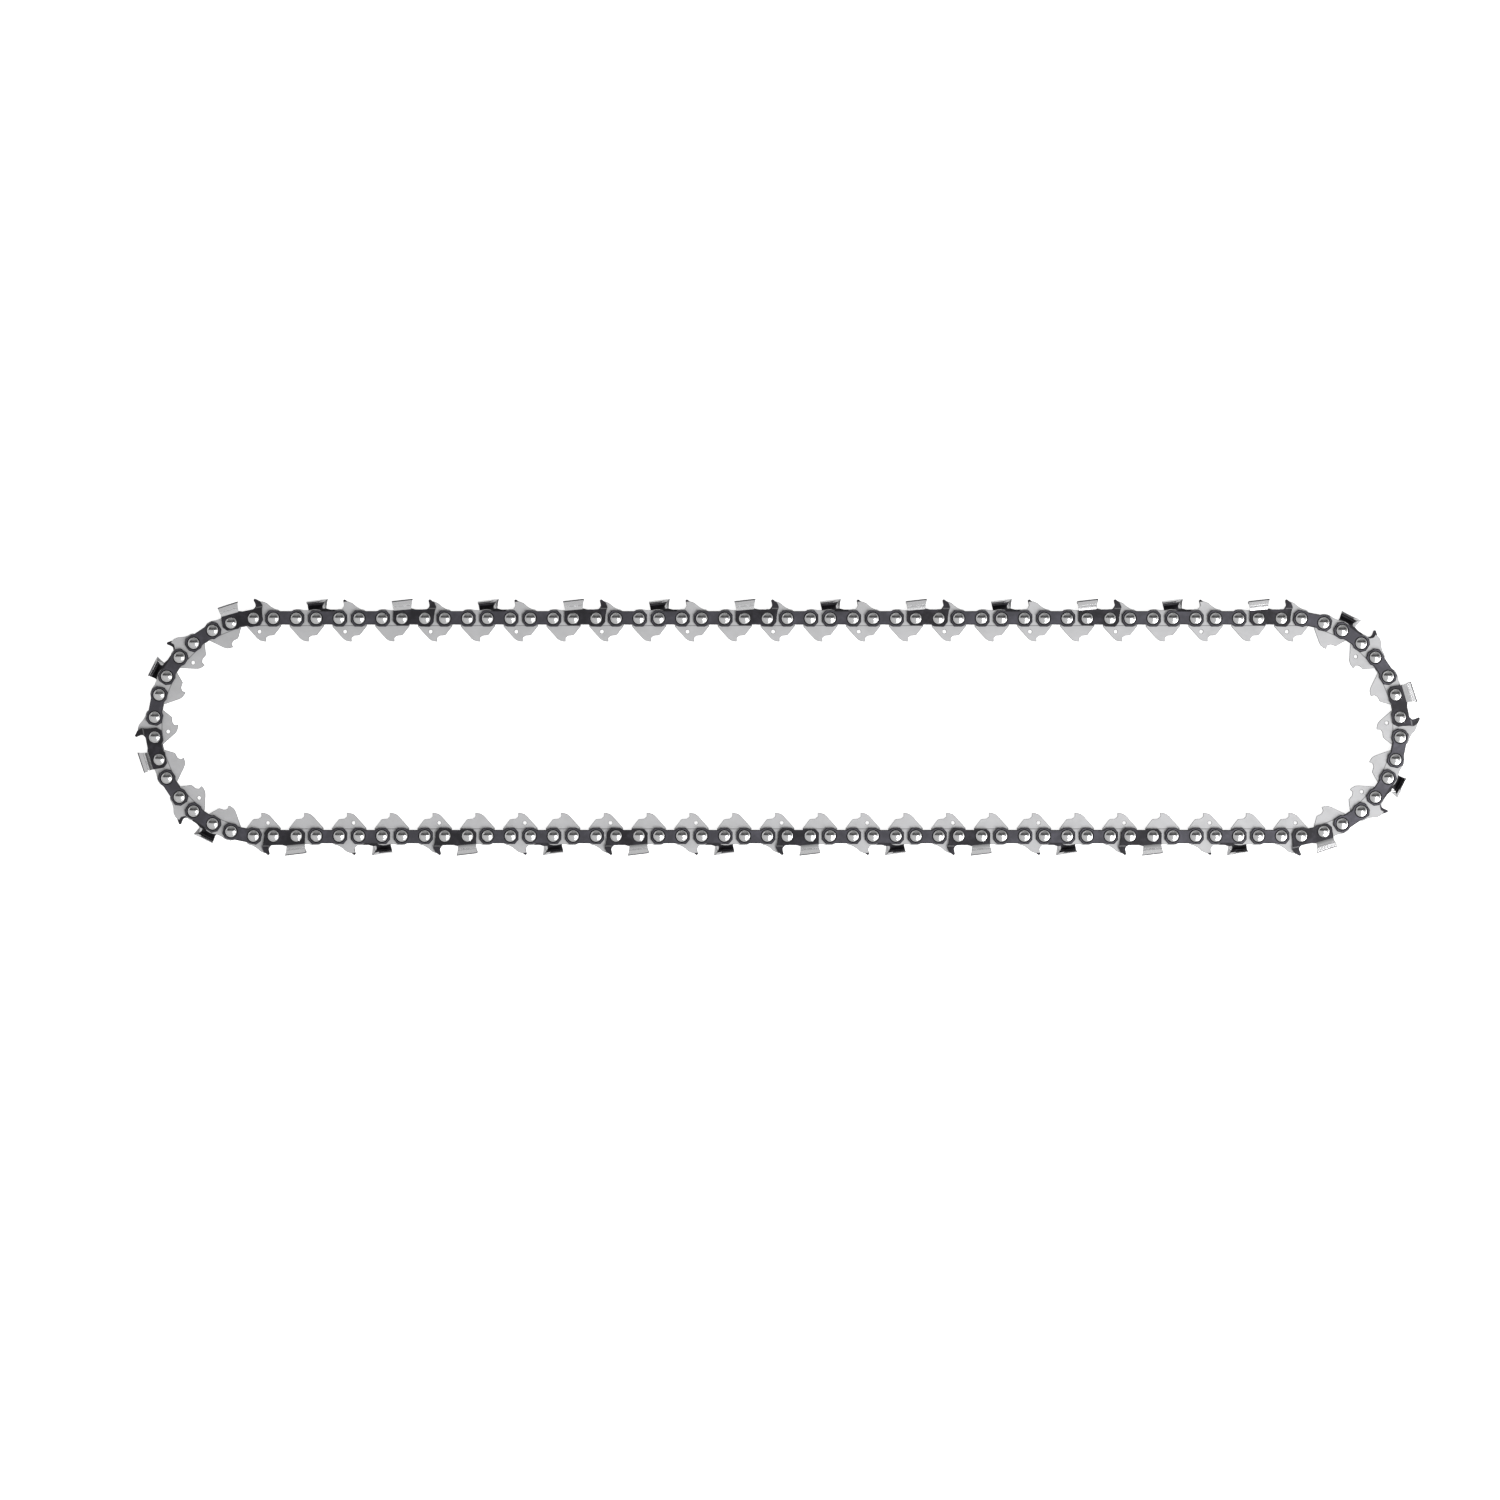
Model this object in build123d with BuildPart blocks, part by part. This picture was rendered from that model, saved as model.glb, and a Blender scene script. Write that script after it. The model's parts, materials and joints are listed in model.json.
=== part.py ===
"""Saw chain closed into a loop and laid on its side: drive links, tie straps, cutters and rivets.

X runs along the straight runs, Y across the loop and Z up from the floor. The origin is on the
floor at the middle of the loop. Links are numbered along the chain's travel, which is clockwise
from above: along the top run, round the right end, back along the bottom run, round the left end.
"""
import os
from math import cos, pi, radians, sin, tan
from typing import NamedTuple

from build123d import *

# Chain layout
PITCH = 8.255  # half the length over one drive link and one tie strap
DRIVE_HOLES = 7.69  # rivet to rivet in a drive link
STRAP_HOLES = 2 * PITCH - DRIVE_HOLES  # rivet to rivet in a tie strap or cutter
RUN_DRIVE_LINKS = 25  # in each straight run, which begins and ends with a drive link
END_STRAPS = 8  # outer links in each round end, which begins and ends with one
TURN = 180 / (2 * END_STRAPS)  # degrees at each rivet of a round end
ARC_LINKS = 5  # links in each third of a round end, which moves as one

# Sizes across the chain, from its middle
GAUGE = 1.3  # drive link thickness, which fits the bar groove
SIDE_CLEARANCE = 0.05
STRAP_THICKNESS = 1.2
RIVET_PROUD = 0.55
CUTTER_REACH = 3.1  # half the kerf
STRAP_INSIDE = GAUGE / 2 + SIDE_CLEARANCE
STRAP_OUTSIDE = STRAP_INSIDE + STRAP_THICKNESS

# Rivets, with few sides because there are so many
RIVET_RADIUS = 2.25
RIVET_SIDES = 8
BORE_CLEARANCE = 0.05
BORE_RADIUS = (RIVET_RADIUS + BORE_CLEARANCE) / cos(pi / RIVET_SIDES)

# Drive link outline, heights from the rivet line
LINK_END = 3.0  # past the rivet
LINK_TOP = 3.6
SHOULDER = 2.9
HEEL_DEPTH = 6.45
TANG_DEPTH = 8.85
GUARD_HEIGHT = 6.6

# Tie strap and cutter outlines, lengths from the middle of the link
STRAP_END = 2.95  # past the rivet
STRAP_HEIGHT = 6.2
STRAP_CORNER = 1.7
GULLET = 3.6
TOP_PLATE_FRONT = -0.2
TOP_PLATE_LENGTH = 8.1
TOP_PLATE_HEIGHT = 7.7
TOP_PLATE_OVERLAP = 1.6  # how far it reaches past the chain middle
TOP_PLATE_THICKNESS = 0.9
TOP_PLATE_FALL = radians(7)  # down towards the rear
FILING_ANGLE = radians(30)
DEPTH_GAUGE_HEIGHT = 7.3


class Link(NamedTuple):
    """One link of the loop."""

    section: str  # run or third of a round end, whose links move together
    kind: str  # guard_link, plain_link, tie_straps, left_cutter or right_cutter
    place: Location  # between its rivets, X along the travel and Y out of the loop


def link_kind(step):
    """Kind of the link at a step of the loop, which repeats every eight links."""
    cutter = "left_cutter" if step % 8 < 4 else "right_cutter"
    return ("guard_link", "tie_straps", "plain_link", cutter)[step % 4]


def walk_loop():
    """Lays the links of the loop rivet to rivet, in the order of travel."""
    run_links = 2 * RUN_DRIVE_LINKS - 1
    thirds = ("upper", "middle", "lower")
    halves = (("top_run", "right_end", thirds), ("bottom_run", "left_end", thirds[::-1]))
    steps, heading = [], 0
    for run, end, arcs in halves:
        steps += [(run, heading)] * run_links
        arcs_by_link = [arc for arc in arcs for _ in range(ARC_LINKS)]
        for number, arc in enumerate(arcs_by_link, 1):
            steps.append((f"{end}_{arc}", heading - number * TURN))
        heading -= 180
    rivets = [Vector(0, 0, CUTTER_REACH)]
    for step, (_, heading) in enumerate(steps):
        length = STRAP_HOLES if step % 2 else DRIVE_HOLES
        rivets.append(rivets[-1] + Vector(length, 0, 0).rotate(Axis.Z, heading))
    across = rivets[len(steps) // 2] - rivets[0]
    links = []
    for step, (section, heading) in enumerate(steps):
        centre = (rivets[step] + rivets[step + 1] - across) / 2
        along = Vector(1, 0, 0).rotate(Axis.Z, heading)
        place = Plane(centre, x_dir=along, z_dir=(0, 0, 1)).location
        links.append(Link(section, link_kind(step), place))
    return links


def drive_link(guard, bores=()):
    """A drive link with its tang; bores lists the ends, -1 rear and 1 front, that turn on a rivet."""
    half = DRIVE_HOLES / 2
    end = half + LINK_END
    rear_top = [(-end, 1.4), (1.85 - end, LINK_TOP)]
    crest = [(0.95 - half, LINK_TOP), (1.6 - half, GUARD_HEIGHT - 0.3), (0, GUARD_HEIGHT)]
    front_top = [(end - 1.85, LINK_TOP), (end, 1.4), (end - 0.15, -SHOULDER)]
    hook = [(half, -HEEL_DEPTH), (half - 1.85, -HEEL_DEPTH), (half - 3.1, -HEEL_DEPTH - 1.1)]
    tang = [(half - 3, -TANG_DEPTH), (1.95 - half, 0.7 - TANG_DEPTH), (-half - 0.75, -5)]
    outline = rear_top + (crest if guard else []) + front_top + hook + tang
    with BuildPart() as link:
        with BuildSketch(Plane.XY.offset(-GAUGE / 2)):
            with BuildLine():
                Polyline(*outline, (0.25 - end, -SHOULDER), close=True)
            make_face()
            for side in bores:
                with Locations((side * half, 0)):
                    RegularPolygon(BORE_RADIUS, RIVET_SIDES, mode=Mode.SUBTRACT)
        extrude(amount=GAUGE)
    return link.part


def tie_strap():
    """A tie strap on the upper side of the chain, with its corners cut off."""
    with BuildPart() as strap:
        with BuildSketch(Plane.XY.offset(STRAP_INSIDE)) as outline:
            Rectangle(STRAP_HOLES + 2 * STRAP_END, STRAP_HEIGHT)
            chamfer(outline.vertices(), STRAP_CORNER)
        extrude(amount=STRAP_THICKNESS)
    return strap.part


def right_cutter():
    """A cutter on the upper side: side plate, depth gauge, and a top plate bent over the chain."""
    half, end = STRAP_HOLES / 2, STRAP_HOLES / 2 + STRAP_END
    rear = TOP_PLATE_FRONT - TOP_PLATE_LENGTH
    low = -STRAP_HEIGHT / 2
    crown = Vector(TOP_PLATE_FRONT, TOP_PLATE_HEIGHT, CUTTER_REACH)
    under = Vector(TOP_PLATE_FRONT, TOP_PLATE_HEIGHT - TOP_PLATE_THICKNESS - 0.2, STRAP_OUTSIDE)
    section = Plane((TOP_PLATE_FRONT, 0, 0), x_dir=(0, 0, 1), z_dir=(-1, 0, 0))
    back = Vector(-cos(TOP_PLATE_FALL), -sin(TOP_PLATE_FALL), 0)
    across = Vector(1, 0, 0).cross(under - crown).normalized()
    filing = Vector(cos(FILING_ANGLE), 0, 0) + across * sin(FILING_ANGLE)
    with BuildPart() as top_plate:
        with BuildSketch(section):
            with BuildLine():
                Polyline(
                    (STRAP_INSIDE, GULLET),
                    (STRAP_OUTSIDE, GULLET),
                    (CUTTER_REACH, GULLET + 1.2),
                    (CUTTER_REACH, TOP_PLATE_HEIGHT),
                    (-TOP_PLATE_OVERLAP, TOP_PLATE_HEIGHT - 0.4),
                    (-TOP_PLATE_OVERLAP, TOP_PLATE_HEIGHT - 0.4 - TOP_PLATE_THICKNESS),
                    (under.Z, under.Y),
                    close=True,
                )
            make_face()
        extrude(amount=TOP_PLATE_LENGTH / cos(TOP_PLATE_FALL), dir=back)
        split(bisect_by=Plane(crown, x_dir=under - crown, z_dir=filing), keep=Keep.BOTTOM)
    with BuildPart() as cutter:
        with BuildSketch(Plane.XY.offset(STRAP_INSIDE)):
            with BuildLine():
                Polyline(
                    (rear, GULLET - TOP_PLATE_LENGTH * tan(TOP_PLATE_FALL)),
                    (TOP_PLATE_FRONT, GULLET),
                    (half + 0.9, GULLET),
                    (half + 1.6, DEPTH_GAUGE_HEIGHT),
                    (end + 0.5, DEPTH_GAUGE_HEIGHT - 1),
                    (end + 1.35, GULLET + 0.5),
                    (end + 0.5, low + STRAP_CORNER),
                    (end + 0.5 - STRAP_CORNER, low),
                    (STRAP_CORNER - end - 0.25, low),
                    (-end - 0.25, low + STRAP_CORNER),
                    close=True,
                )
            make_face()
        extrude(amount=STRAP_THICKNESS)
        add(top_plate.part)
    return cutter.part


def rivet():
    """A rivet through both straps, its heads standing proud of them."""
    with BuildPart() as pin:
        with BuildSketch(Plane.XY.offset(-STRAP_OUTSIDE - RIVET_PROUD)):
            RegularPolygon(RIVET_RADIUS, RIVET_SIDES)
        extrude(amount=2 * (STRAP_OUTSIDE + RIVET_PROUD))
    return pin.part


def export(name, shapes):
    """Writes one node, made of placed copies of pieces, to its file."""
    with BuildPart() as node:
        for shape, places in shapes:
            with Locations(*places):
                add(shape)
    node.part.label = name
    export_step(node.part, f"parts/{name}.step")


def main():
    """Builds each piece once and places it along the loop, section by section."""
    os.makedirs("parts", exist_ok=True)
    links = walk_loop()
    upper_strap = tie_strap()
    lower_strap = mirror(upper_strap, about=Plane.XY)
    cutters = {"right_cutter": right_cutter()}
    cutters["left_cutter"] = mirror(cutters["right_cutter"], about=Plane.XY)
    pin = rivet()
    pin_spots = [Location((side * STRAP_HOLES / 2, 0, 0)) for side in (-1, 1)]

    for section in dict.fromkeys(link.section for link in links):
        chosen = [link for link in links if link.section == section]
        for kind in ("plain_link", "guard_link"):
            fixed = [link.place for link in chosen[1:-1] if link.kind == kind]
            shapes = [(drive_link(kind == "guard_link"), fixed)] if fixed else []
            for bore, link in ((-1, chosen[0]), (1, chosen[-1])):
                if link.kind == kind:
                    shapes.append((drive_link(kind == "guard_link", (bore,)), [link.place]))
            export(f"{section}_{kind}s", shapes)
        outers = [link for link in chosen if not link.kind.endswith("_link")]
        for kind, cutter in cutters.items():
            places = [link.place for link in outers if link.kind == kind]
            if places:
                export(f"{section}_{kind}s", [(cutter, places)])
        uppers = [link.place for link in outers if link.kind != "right_cutter"]
        lowers = [link.place for link in outers if link.kind != "left_cutter"]
        export(f"{section}_tie_straps", [(upper_strap, uppers), (lower_strap, lowers)])
        pins = [link.place * spot for link in outers for spot in pin_spots]
        export(f"{section}_rivets", [(pin, pins)])


main()
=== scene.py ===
"""Saw chain loop on its side: detailed links, finishes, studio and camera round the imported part.

Lengths are millimetres unless a name or a comment says otherwise. A link's own axes are X along
the chain's travel, Y out of the loop and Z up through the chain's width, from the middle between
its rivets.
"""
import json
import logging
import math
from dataclasses import dataclass
from enum import Enum
from typing import Sequence, Union

import bmesh
import bpy
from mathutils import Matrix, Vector
from mathutils.geometry import tessellate_polygon

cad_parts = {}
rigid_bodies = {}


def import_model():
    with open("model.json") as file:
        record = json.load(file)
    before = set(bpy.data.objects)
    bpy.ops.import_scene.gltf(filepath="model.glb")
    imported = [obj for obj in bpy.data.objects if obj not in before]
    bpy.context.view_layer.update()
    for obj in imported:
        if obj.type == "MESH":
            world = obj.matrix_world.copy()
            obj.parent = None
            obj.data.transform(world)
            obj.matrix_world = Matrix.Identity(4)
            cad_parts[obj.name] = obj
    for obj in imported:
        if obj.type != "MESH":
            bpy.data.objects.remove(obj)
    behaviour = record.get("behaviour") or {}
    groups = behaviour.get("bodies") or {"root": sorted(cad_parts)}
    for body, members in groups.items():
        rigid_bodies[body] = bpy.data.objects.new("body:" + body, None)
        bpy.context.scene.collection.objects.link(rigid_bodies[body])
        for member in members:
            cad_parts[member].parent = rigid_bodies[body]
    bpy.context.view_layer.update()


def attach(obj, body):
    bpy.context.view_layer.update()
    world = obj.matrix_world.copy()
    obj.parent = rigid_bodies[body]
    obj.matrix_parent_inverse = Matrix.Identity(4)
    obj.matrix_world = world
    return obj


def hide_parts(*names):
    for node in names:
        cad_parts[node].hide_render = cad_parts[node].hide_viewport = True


MM = 0.001
UV_MAP = "UVMap"
UV_SPAN = 20.0  # millimetres of a link across its UV square
UV_MIDDLE = 0.5
PLATING_AND_PAINTED_LIGHT = "plating"  # face attribute: 0 blackened, 1 bright metal, and also painted shade and reflections on edges, seats and corners
HEADING = "heading"  # point attribute: the way a link points, in radians
VARIANT = "variant"  # point attribute: which of a piece's shapes stands there
ENDS = (-1, 1)  # rear and front of a link
AXIS = (0.0, 0.0)  # where the axis of a turned shape stands
SHARP_ANGLE = math.radians(28)  # an edge that turns further is shaded sharp
ARC_STEP = math.radians(24)  # largest turn between two points of a rounded corner
STRAIGHT = 0.02  # radians; a corner that turns less is left as it is
MITRE_LIMIT = 0.35  # keeps the inset of a sharp corner short
MIX_FIRST, MIX_SECOND, MIX_RESULT = 6, 7, 2  # colour sockets of a Mix node

Point = tuple[float, float]
Place = tuple[float, float, float]
Corner = tuple[float, float, float]  # x, y and the radius that rounds it
Turned = tuple[float, float, float]  # radius, height and the plating of the band that follows
Colour = tuple[float, float, float]
Spot = tuple[Point, float, int]  # place, heading and shape number of one copy
Verts = list[bmesh.types.BMVert]
Faces = list[bmesh.types.BMFace]
Paint = Union[Colour, bpy.types.NodeSocket]

log = logging.getLogger("chain_loop")


class PieceKind(Enum):
    """Kinds of piece along the chain, named as the part's nodes are."""

    PLAIN = "plain_links"
    GUARD = "guard_links"
    STRAPS = "tie_straps"
    LEFT_CUTTER = "left_cutters"
    RIGHT_CUTTER = "right_cutters"
    RIVETS = "rivets"

    @property
    def drives(self) -> bool:
        """Whether it is a drive link, which lies between the straps."""
        return self in (PieceKind.PLAIN, PieceKind.GUARD)


class Side(Enum):
    """Sides of the chain, which lies on its lower one."""

    UPPER = 1
    LOWER = -1


@dataclass(frozen=True)
class LinkPlace:
    """Where one link lies.

    Args:
        section: The body that carries the link.
        kind: The link's kind.
        middle: The point between its rivets.
        heading: The way it points, in radians from +X.
    """

    section: str
    kind: PieceKind
    middle: Point
    heading: float

    def spot(self, along: float) -> Point:
        """The point on the rivet line at a distance ahead of the link's middle."""
        x, y = self.middle
        return x + along * math.cos(self.heading), y + along * math.sin(self.heading)


@dataclass(frozen=True)
class ChainLayout:
    """Spacing of the links and their course round the loop."""

    drive_holes: float = 7.69
    strap_holes: float = 8.82
    run_links: int = 49
    arc_links: int = 5
    turn: float = math.radians(11.25)
    middle_height: float = 3.1
    arcs: tuple[str, ...] = ("upper", "middle", "lower")
    pattern: tuple[PieceKind, ...] = (
        PieceKind.GUARD, PieceKind.STRAPS, PieceKind.PLAIN, PieceKind.LEFT_CUTTER,
        PieceKind.GUARD, PieceKind.STRAPS, PieceKind.PLAIN, PieceKind.RIGHT_CUTTER)

    def steps(self) -> list[tuple[str, float]]:
        """Walks round the loop in the order of travel.

        Returns:
            Each link's section and heading.
        """
        steps: list[tuple[str, float]] = []
        heading = 0.0
        halves = (("top_run", "right_end", self.arcs), ("bottom_run", "left_end", self.arcs[::-1]))
        for run, end, arcs in halves:
            steps += [(run, heading)] * self.run_links
            for number in range(len(arcs) * self.arc_links):
                section = f"{end}_{arcs[number // self.arc_links]}"
                steps.append((section, heading - (number + 1) * self.turn))
            heading -= math.pi
        return steps

    def links(self) -> list[LinkPlace]:
        """Lays the links rivet to rivet, with the loop's middle at the origin.

        Returns:
            The links in the order of travel.
        """
        steps = self.steps()
        rivets = [Vector((0.0, 0.0))]
        for step, (_, heading) in enumerate(steps):
            length = self.strap_holes if step % 2 else self.drive_holes
            rivets.append(rivets[-1] + Vector((math.cos(heading), math.sin(heading))) * length)
        across = rivets[len(steps) // 2]
        places = []
        for step, (section, heading) in enumerate(steps):
            middle = (rivets[step] + rivets[step + 1] - across) / 2
            kind = self.pattern[step % len(self.pattern)]
            places.append(LinkPlace(section, kind, (middle.x, middle.y), heading))
        return places


def rounded(corners: Sequence[Corner]) -> list[Point]:
    """Rounds the corners of an outline.

    Args:
        corners: The outline's corners, each with its radius.

    Returns:
        The points of the rounded outline.
    """
    points: list[Point] = []
    for index, (x, y, radius) in enumerate(corners):
        here = Vector((x, y))
        back = (Vector(corners[index - 1][:2]) - here).normalized()
        ahead = (Vector(corners[(index + 1) % len(corners)][:2]) - here).normalized()
        inside = math.acos(max(-1.0, min(1.0, back.dot(ahead))))
        turn = math.pi - inside
        if radius <= 0 or turn < STRAIGHT:
            points.append((x, y))
            continue
        centre = here + (back + ahead).normalized() * (radius / math.sin(inside / 2))
        start = here + back * (radius * math.tan(turn / 2)) - centre
        sense = -1.0 if back.x * ahead.y - back.y * ahead.x > 0 else 1.0
        count = math.ceil(turn / ARC_STEP)
        for part in range(count + 1):
            angle = sense * turn * part / count
            cos, sin = math.cos(angle), math.sin(angle)
            points.append((centre.x + start.x * cos - start.y * sin,
                           centre.y + start.x * sin + start.y * cos))
    return points


def circle(centre: Point, radius: float, sides: int) -> list[Point]:
    """Points of a circle, clockwise, as the edge of a hole runs."""
    turns = [-2 * math.pi * part / sides for part in range(sides)]
    return [(centre[0] + radius * math.cos(a), centre[1] + radius * math.sin(a)) for a in turns]


def inset(loop: Sequence[Point], depth: float) -> list[Point]:
    """Moves a closed loop into the material on its left.

    Args:
        loop: The points of the loop.
        depth: How far it moves.

    Returns:
        The points of the moved loop.
    """
    moved = []
    for index, point in enumerate(loop):
        here = Vector(point)
        before = (here - Vector(loop[index - 1])).normalized()
        after = (Vector(loop[(index + 1) % len(loop)]) - here).normalized()
        normals = Vector((-before.y, before.x)), Vector((-after.y, after.x))
        mitre = (normals[0] + normals[1]) / max(MITRE_LIMIT, 1 + normals[0].dot(normals[1]))
        moved.append((here.x + depth * mitre.x, here.y + depth * mitre.y))
    return moved


class Blank:
    """A link's mesh in the making, in the link's own axes."""

    def __init__(self) -> None:
        """Starts an empty mesh with its UV map and its plating."""
        self.mesh = bmesh.new()
        self.uv = self.mesh.loops.layers.uv.new(UV_MAP)
        self.plating = self.mesh.faces.layers.float.new(PLATING_AND_PAINTED_LIGHT)

    def face(self, verts: Sequence[bmesh.types.BMVert], plating: float) -> bmesh.types.BMFace:
        """Adds a face.

        Args:
            verts: Its corners.
            plating: Its plating.

        Returns:
            The new face.
        """
        made = self.mesh.faces.new(verts)
        made[self.plating] = plating
        return made

    def ring(self, points: Sequence[Place]) -> Verts:
        """Adds a vertex for each point."""
        return [self.mesh.verts.new(point) for point in points]

    def band(self, low: Verts, high: Verts, plating: Sequence[float]) -> Faces:
        """Joins two closed rings of vertices with a band of faces.

        Args:
            low: The first ring.
            high: The second ring, of equal count.
            plating: The plating of each face round the band.

        Returns:
            The faces of the band.
        """
        count = len(low)
        return [self.face((low[i], low[(i + 1) % count], high[(i + 1) % count], high[i]), value)
                for i, value in enumerate(plating)]

    def cap(self, loops: Sequence[Verts], plating: float) -> Faces:
        """Closes one or more rings with flat triangles.

        Args:
            loops: The rings, the outer one first.
            plating: The plating of the triangles.

        Returns:
            The triangles.
        """
        verts = [vert for loop in loops for vert in loop]
        triangles = tessellate_polygon([[vert.co for vert in loop] for loop in loops])
        return [self.face([verts[i] for i in triangle], plating) for triangle in triangles]

    def plate(self, outline: Sequence[Point], holes: Sequence[Sequence[Point]],
              levels: tuple[float, float], bevels: tuple[float, float],
              plating: tuple[float, float]) -> None:
        """Adds a flat plate with bevelled edges.

        Args:
            outline: The plate's outline, anticlockwise.
            holes: The holes' outlines, clockwise.
            levels: The heights of its lower and upper faces.
            bevels: The bevels of the lower and upper edges.
            plating: The plating of the faces and of the edges.
        """
        (low, high), (under, over), (flat, edge) = levels, bevels, plating
        courses = ((under, low), (0.0, low + under), (0.0, high - over), (over, high))
        faces: Faces = []
        lower_rings: list[Verts] = []
        upper_rings: list[Verts] = []
        for loop in (outline, *holes):
            rings = [self.ring([(x, y, z) for x, y in inset(loop, depth)]) for depth, z in courses]
            for first, second in zip(rings, rings[1:]):
                faces += self.band(first, second, [edge] * len(loop))
            lower_rings.append(rings[0])
            upper_rings.append(rings[-1])
        faces += self.cap(lower_rings, flat) + self.cap(upper_rings, flat)
        bmesh.ops.recalc_face_normals(self.mesh, faces=faces)

    def lathe(self, profile: Sequence[Turned], sides: int) -> None:
        """Adds a turned shape, whose axis stands upright at the origin.

        Args:
            profile: The shape's profile, from one pole to the other.
            sides: The number of sides.
        """
        faces: Faces = []
        bands = profile[1:-1]
        rings = [self.ring([(x, y, z) for x, y in circle(AXIS, radius, sides)])
                 for radius, z, _ in bands]
        for lower, upper, (_, _, plating) in zip(rings, rings[1:], bands):
            faces += self.band(lower, upper, [plating] * sides)
        for (_, z, plating), ring in ((profile[0], rings[0]), (profile[-1], rings[-1])):
            pole = self.mesh.verts.new((*AXIS, z))
            faces += [self.face((pole, ring[i - 1], ring[i]), plating) for i in range(sides)]
        bmesh.ops.recalc_face_normals(self.mesh, faces=faces)

    def bar(self, rings: Sequence[Sequence[Place]], plating: Sequence[float],
            ends: tuple[float, float]) -> None:
        """Adds a bar that runs through rings of equal count.

        Args:
            rings: The rings of points along the bar.
            plating: The plating of each side face round a ring.
            ends: The plating of the first and the last end.
        """
        faces: Faces = []
        made = [self.ring(points) for points in rings]
        for low, high in zip(made, made[1:]):
            faces += self.band(low, high, plating)
        faces += self.cap([made[0]], ends[0]) + self.cap([made[-1]], ends[1])
        bmesh.ops.recalc_face_normals(self.mesh, faces=faces)

    def finish(self, name: str, side: Side = Side.UPPER) -> bpy.types.Mesh:
        """Writes the mesh in metres, on the chain's upper side or mirrored to its lower one.

        Args:
            name: The mesh's name.
            side: The side of the chain.

        Returns:
            The finished mesh.
        """
        for part in self.mesh.faces:
            part.smooth = True
            for loop in part.loops:
                x, y, _ = loop.vert.co
                loop[self.uv].uv = (x / UV_SPAN + UV_MIDDLE, y / UV_SPAN + UV_MIDDLE)
        for vert in self.mesh.verts:
            vert.co *= MM
            vert.co.z *= side.value
        if side is Side.LOWER:
            bmesh.ops.reverse_faces(self.mesh, faces=self.mesh.faces[:])
        mesh = bpy.data.meshes.new(name)
        self.mesh.to_mesh(mesh)
        self.mesh.free()
        mesh.set_sharp_from_angle(angle=SHARP_ANGLE)
        return mesh


@dataclass(frozen=True)
class DriveLink:
    """A drive link: round shoulders, a hooked tang and, on a guard link, a ramp and an oil hole."""

    guard: bool
    half_gauge: float = 0.65
    bevel: float = 0.12
    # an edge plating of 0 paints shade along the cut edges and bevels
    plating: tuple[float, float] = (1.0, 0.0)
    hole_at: Point = (-1.65, -5.06)
    hole_radius: float = 0.72
    hole_sides: int = 14
    bore_at: float = 3.845
    bore_radius: float = 2.52
    bore_sides: int = 20
    tang: tuple[Corner, ...] = (
        (-6.5, -3.15, 0.5), (-1.55, -8.75, 3.4), (0.93, -8.95, 0.12), (0.88, -7.5, 0.35),
        (1.9, -6.65, 0.9), (4.0, -6.5, 0.6), (6.75, -2.95, 0.4))
    plain_top: tuple[Corner, ...] = (
        (6.85, 3.62, 2.9), (2.6, 3.62, 2.0), (1.0, 3.2, 1.6), (-1.0, 3.2, 1.6),
        (-2.6, 3.62, 2.0), (-6.85, 3.62, 2.9))
    guard_top: tuple[Corner, ...] = (
        (6.85, 3.5, 1.9), (4.7, 3.5, 2.5), (2.7, 4.6, 3.5), (1.2, 6.0, 1.5), (-0.4, 6.62, 0.8),
        (-2.3, 6.5, 0.25), (-1.93, 5.1, 0.6), (-2.85, 3.62, 0.7), (-6.85, 3.62, 2.6))

    def build(self) -> bpy.types.Mesh:
        """Makes the link.

        Returns:
            The link's mesh.
        """
        blank = Blank()
        outline = rounded(self.tang + (self.guard_top if self.guard else self.plain_top))
        holes = [circle((end * self.bore_at, 0.0), self.bore_radius, self.bore_sides)
                 for end in ENDS]
        if self.guard:
            holes.append(circle(self.hole_at, self.hole_radius, self.hole_sides))
        levels = (-self.half_gauge, self.half_gauge)
        blank.plate(outline, holes, levels, (self.bevel, self.bevel), self.plating)
        return blank.finish("guard_link" if self.guard else "plain_link")


@dataclass(frozen=True)
class TieStrap:
    """A tie strap: cut corners, a waist on the tang side, and a sunk seat round each rivet."""

    levels: tuple[float, float] = (0.70, 1.90)  # its inside and its outside
    bevels: tuple[float, float] = (0.08, 0.32)
    # an edge plating of 0 paints shade on the bevels and sides
    plating: tuple[float, float] = (1.0, 0.0)
    rivet_at: float = 4.41
    seat_radius: float = 2.3
    seat_sides: int = 16
    corners: tuple[Corner, ...] = (
        (-7.5, -1.42, 0.2), (-6.05, -3.15, 0.25), (-3.1, -3.15, 0.7), (-2.0, -2.35, 0.7),
        (2.0, -2.35, 0.7), (3.1, -3.15, 0.7), (6.05, -3.15, 0.25), (7.5, -1.42, 0.2),
        (7.5, 1.42, 0.2), (6.05, 3.12, 0.25), (3.4, 3.12, 1.0), (2.4, 2.85, 1.0),
        (-2.4, 2.85, 1.0), (-3.4, 3.12, 1.0), (-6.05, 3.12, 0.25), (-7.5, 1.42, 0.2))

    def seats(self) -> list[list[Point]]:
        """Outlines of the two rivet seats."""
        return [circle((end * self.rivet_at, 0.0), self.seat_radius, self.seat_sides)
                for end in ENDS]

    def build(self, side: Side) -> bpy.types.Mesh:
        """Makes a strap.

        Args:
            side: The side of the chain that it lies on.

        Returns:
            The strap's mesh.
        """
        blank = Blank()
        blank.plate(rounded(self.corners), self.seats(), self.levels, self.bevels, self.plating)
        return blank.finish(f"tie_strap_{side.name.lower()}", side)


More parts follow.
